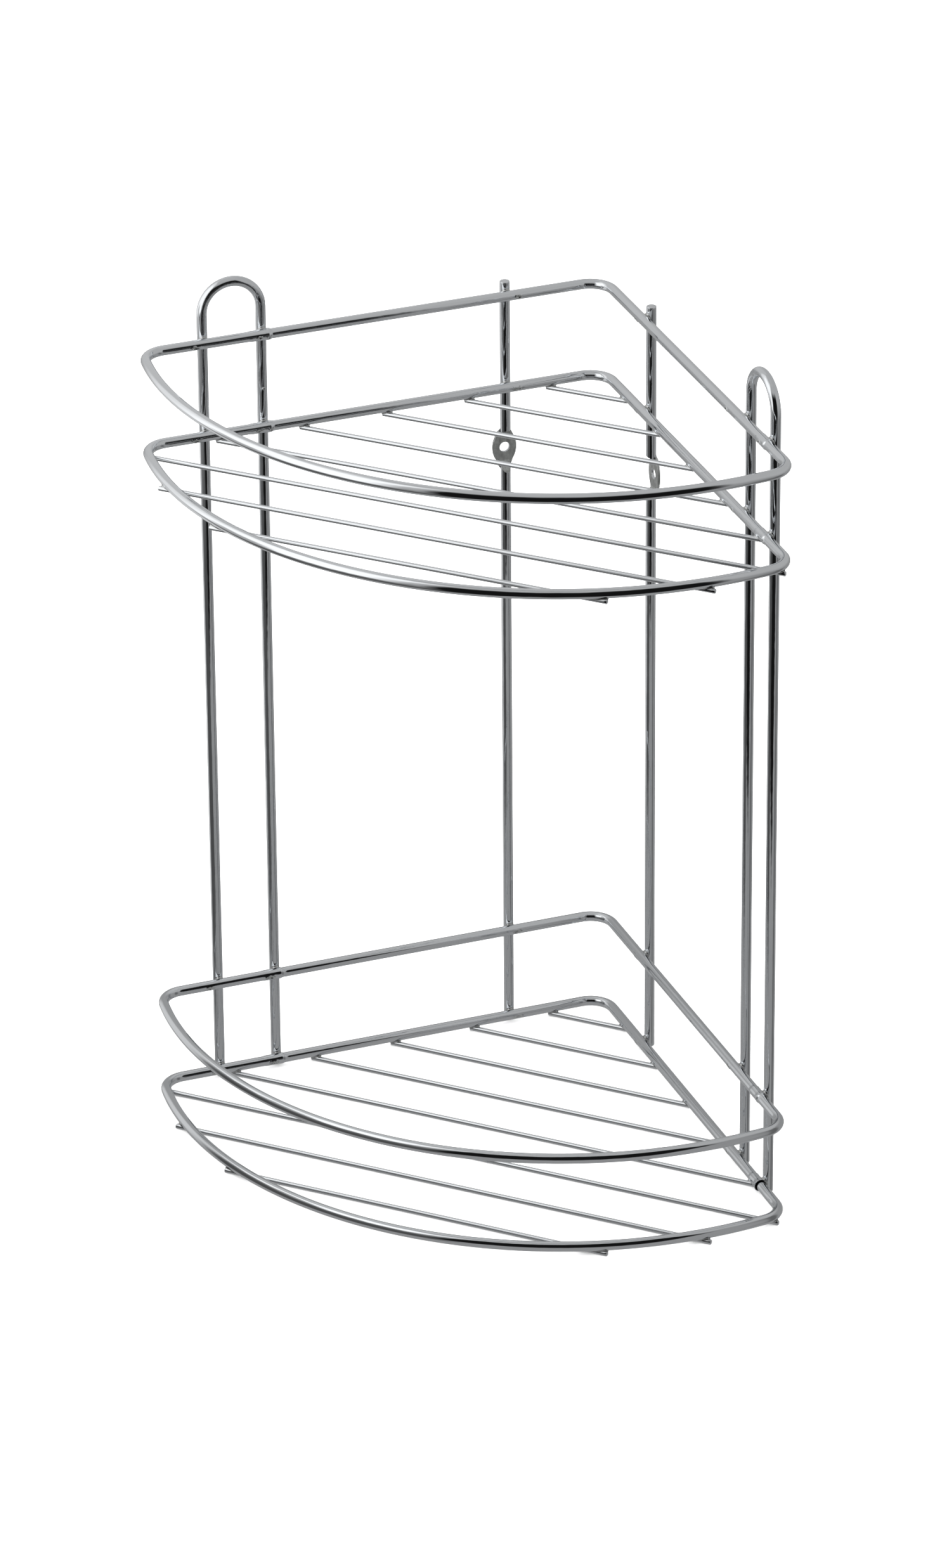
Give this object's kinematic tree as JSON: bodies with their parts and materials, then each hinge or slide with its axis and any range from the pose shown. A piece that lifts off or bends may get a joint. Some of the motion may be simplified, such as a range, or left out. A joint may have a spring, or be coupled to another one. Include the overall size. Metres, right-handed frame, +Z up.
{
  "type": "corner shower caddy",
  "caption": "Chromed wire corner caddy with stacked open baskets, bowed fronts, hairpin uprights and screw eyes for two walls.",
  "frame": {"origin": "middle of the object's bounding box, on the plane it stands on: the undersides of the lower floor wires and the hairpin uprights' feet", "axes": "+Z up; +Y to the room's corner, along the line that halves the angle between the two walls; +X to the right for someone who faces the corner; the bow faces -Y"},
  "size_m": [0.329, 0.2536, 0.427],
  "materials": {
    "chromed_tube": "bright decorative chrome plating on bent steel tube",
    "chromed_rod": "bright decorative chrome plating on drawn steel rod",
    "chromed_wire": "bright decorative chrome plating on thin steel wire"
  },
  "bodies": {
    "root": {"lower_floor_rim_back": "chromed_tube", "lower_floor_rim_front": "chromed_tube", "lower_guard_rim_back": "chromed_tube", "lower_guard_rim_front": "chromed_tube", "upper_floor_rim_back": "chromed_tube", "upper_floor_rim_front": "chromed_tube", "upper_guard_rim_back": "chromed_tube", "upper_guard_rim_front": "chromed_tube", "left_hairpin_upright": "chromed_rod", "left_eye_upright": "chromed_rod", "right_hairpin_upright": "chromed_rod", "right_eye_upright": "chromed_rod", "lower_floor_wire_1": "chromed_wire", "lower_floor_wire_2": "chromed_wire", "lower_floor_wire_3": "chromed_wire", "lower_floor_wire_4": "chromed_wire", "lower_floor_wire_5": "chromed_wire", "lower_floor_wire_6": "chromed_wire", "lower_floor_wire_7": "chromed_wire", "lower_floor_wire_8": "chromed_wire", "upper_floor_wire_1": "chromed_wire", "upper_floor_wire_2": "chromed_wire", "upper_floor_wire_3": "chromed_wire", "upper_floor_wire_4": "chromed_wire", "upper_floor_wire_5": "chromed_wire", "upper_floor_wire_6": "chromed_wire", "upper_floor_wire_7": "chromed_wire", "upper_floor_wire_8": "chromed_wire"}
  },
  "joints": []
}
